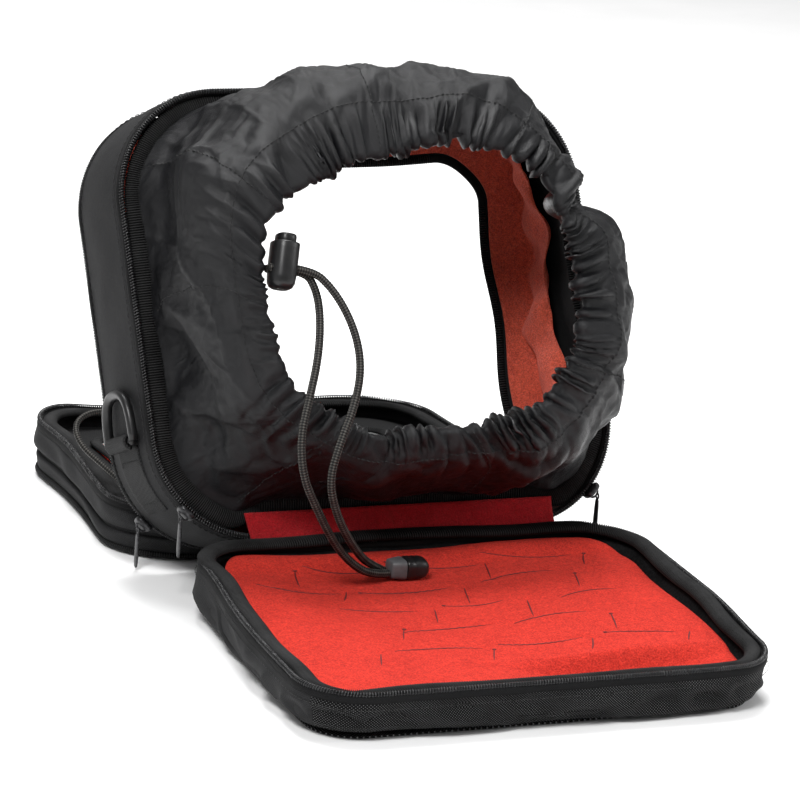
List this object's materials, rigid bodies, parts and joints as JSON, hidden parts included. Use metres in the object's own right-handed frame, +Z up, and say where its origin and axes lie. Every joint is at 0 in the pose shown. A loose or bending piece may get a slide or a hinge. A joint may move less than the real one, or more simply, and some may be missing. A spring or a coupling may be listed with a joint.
{
  "type": "film changing bag",
  "caption": "Soft darkroom case: padded band with gathered drawstring hood between two hinged zip covers, red fleece pad, cord lock and side D-rings.",
  "frame": {"origin": "centre of the open case's footprint, on the surface it stands on (cords left out)", "axes": "+Z up; +X to the user's right; -Y towards the user, so the front cover lies towards -Y and the rear cover towards +Y"},
  "size_m": [0.2559, 0.4527, 0.2445],
  "materials": {
    "woven_nylon": "plain woven nylon, matt",
    "ballistic_nylon": "coarse ballistic weave",
    "hood_nylon": "thin coated nylon with a soft sheen",
    "binding_black": "ribbed grosgrain",
    "fleece_red": "brushed fleece",
    "zip_coil": "moulded nylon coil",
    "zip_tape": "woven zip tape",
    "slider_metal": "black lacquered zinc",
    "moulded_black": "fine satin moulding",
    "cap_grey": "satin grey moulding",
    "cord_black": "braided polyester cord",
    "foam_grey": "closed-cell foam",
    "webbing_black": "woven webbing",
    "clear_vinyl": "clear flexible vinyl",
    "spring_steel": "spring wire"
  },
  "bodies": {
    "case_body": {"band_shell": "woven_nylon", "band_lining": "fleece_red", "band_front_binding": "binding_black", "rear_flange": "woven_nylon", "rear_flange_binding": "binding_black", "band_front_zip_tape": "zip_tape", "band_front_zip_coil": "zip_coil", "band_rear_zip_tape": "zip_tape", "band_rear_zip_coil": "zip_coil", "web_tab_left": "webbing_black", "web_tab_right": "webbing_black", "zip_slider_front_left": "slider_metal", "zip_slider_front_right": "slider_metal", "zip_slider_rear_left": "slider_metal", "zip_slider_rear_right": "slider_metal", "hood_shell": "hood_nylon", "hood_hem": "hood_nylon", "hood_drawcord": "cord_black", "front_hinge_strip": "fleece_red", "rear_hinge_strip": "woven_nylon"},
    "front_cover": {"front_cover_shell": "ballistic_nylon", "front_cover_foam": "foam_grey", "front_cover_pad": "fleece_red", "front_cover_binding": "binding_black", "front_cover_zip_tape": "zip_tape", "front_cover_zip_coil": "zip_coil"},
    "rear_cover": {"rear_cover_shell": "woven_nylon", "rear_cover_piping": "binding_black", "rear_cover_foam": "foam_grey", "rear_cover_lining": "fleece_red", "rear_cover_binding": "binding_black", "rear_cover_zip_tape": "zip_tape", "rear_cover_zip_coil": "zip_coil", "rear_pocket": "woven_nylon", "rear_window": "clear_vinyl", "rear_window_binding": "binding_black", "elastic_loop": "cord_black"},
    "cord_lock": {"cord_lock_barrel": "moulded_black", "cord_lock_spring": "spring_steel", "cord_strand_a": "cord_black", "cord_strand_b": "cord_black"},
    "cord_lock_plunger": {"cord_lock_plunger": "moulded_black"},
    "cord_end": {"cord_end_cap": "cap_grey", "cord_end_body": "moulded_black"},
    "d_ring_left": {"d_ring_left": "moulded_black"},
    "d_ring_right": {"d_ring_right": "moulded_black"},
    "zip_pull_front_left": {"zip_pull_front_left": "slider_metal"},
    "zip_pull_front_right": {"zip_pull_front_right": "slider_metal"},
    "zip_pull_rear_left": {"zip_pull_rear_left": "slider_metal"},
    "zip_pull_rear_right": {"zip_pull_rear_right": "slider_metal"}
  },
  "joints": [
    {"name": "front_cover_hinge", "type": "hinge", "parent": "case_body", "child": "front_cover", "pos_m": [0, -0.02293, 0.03163], "axis": [-1, 0, 0], "range_deg": [0, 113.6], "deforming": ["front_hinge_strip"]},
    {"name": "rear_cover_hinge", "type": "hinge", "parent": "case_body", "child": "rear_cover", "pos_m": [0, 0.03898, 0.02058], "axis": [1, 0, 0], "range_deg": [0, 68], "deforming": ["rear_hinge_strip", "elastic_loop"]},
    {"name": "hood_stow", "type": "slide", "parent": "case_body", "child": "cord_lock", "axis": [-0.1124, 0.8594, -0.4988], "range_m": [0, 0.07116], "deforming": ["hood_shell", "hood_hem", "hood_drawcord", "cord_strand_a", "cord_strand_b"]},
    {"name": "cord_end_lift", "type": "slide", "parent": "cord_lock", "child": "cord_end", "axis": [0, 0.0874, 0.9962], "range_m": [0, 0.11444]},
    {"name": "cord_lock_press", "type": "slide", "parent": "cord_lock", "child": "cord_lock_plunger", "axis": [0, -0.3746, -0.9272], "range_m": [0, 0.003], "stiffness_N_per_m": 600, "springref_m": -0.004, "deforming": ["cord_lock_spring"]},
    {"name": "d_ring_left_swing", "type": "hinge", "parent": "case_body", "child": "d_ring_left", "pos_m": [-0.12418, 0.01948, 0.06633], "axis": [0, -0.9272, 0.3746], "range_deg": [0, 150]},
    {"name": "d_ring_right_swing", "type": "hinge", "parent": "case_body", "child": "d_ring_right", "pos_m": [0.12422, 0.01948, 0.06633], "axis": [0, 0.9272, -0.3746], "range_deg": [0, 150]},
    {"name": "zip_pull_front_left_swing", "type": "hinge", "parent": "case_body", "child": "zip_pull_front_left", "pos_m": [-0.10879, -0.02118, 0.04045], "axis": [0, 1, 0], "range_deg": [0, 80]},
    {"name": "zip_pull_rear_left_swing", "type": "hinge", "parent": "case_body", "child": "zip_pull_rear_left", "pos_m": [-0.10879, 0.03074, 0.01947], "axis": [0, 1, 0], "range_deg": [0, 80]},
    {"name": "zip_pull_front_right_swing", "type": "hinge", "parent": "case_body", "child": "zip_pull_front_right", "pos_m": [0.10867, -0.02118, 0.04045], "axis": [0, -1, 0], "range_deg": [0, 80]},
    {"name": "zip_pull_rear_right_swing", "type": "hinge", "parent": "case_body", "child": "zip_pull_rear_right", "pos_m": [0.10867, 0.03074, 0.01947], "axis": [0, -1, 0], "range_deg": [0, 80]}
  ],
  "couplings": [
    {"joint": "hood_stow", "follows": "front_cover_hinge", "m_per_rad": 0.035887},
    {"joint": "cord_end_lift", "follows": "front_cover_hinge", "m_per_rad": 0.057714}
  ]
}
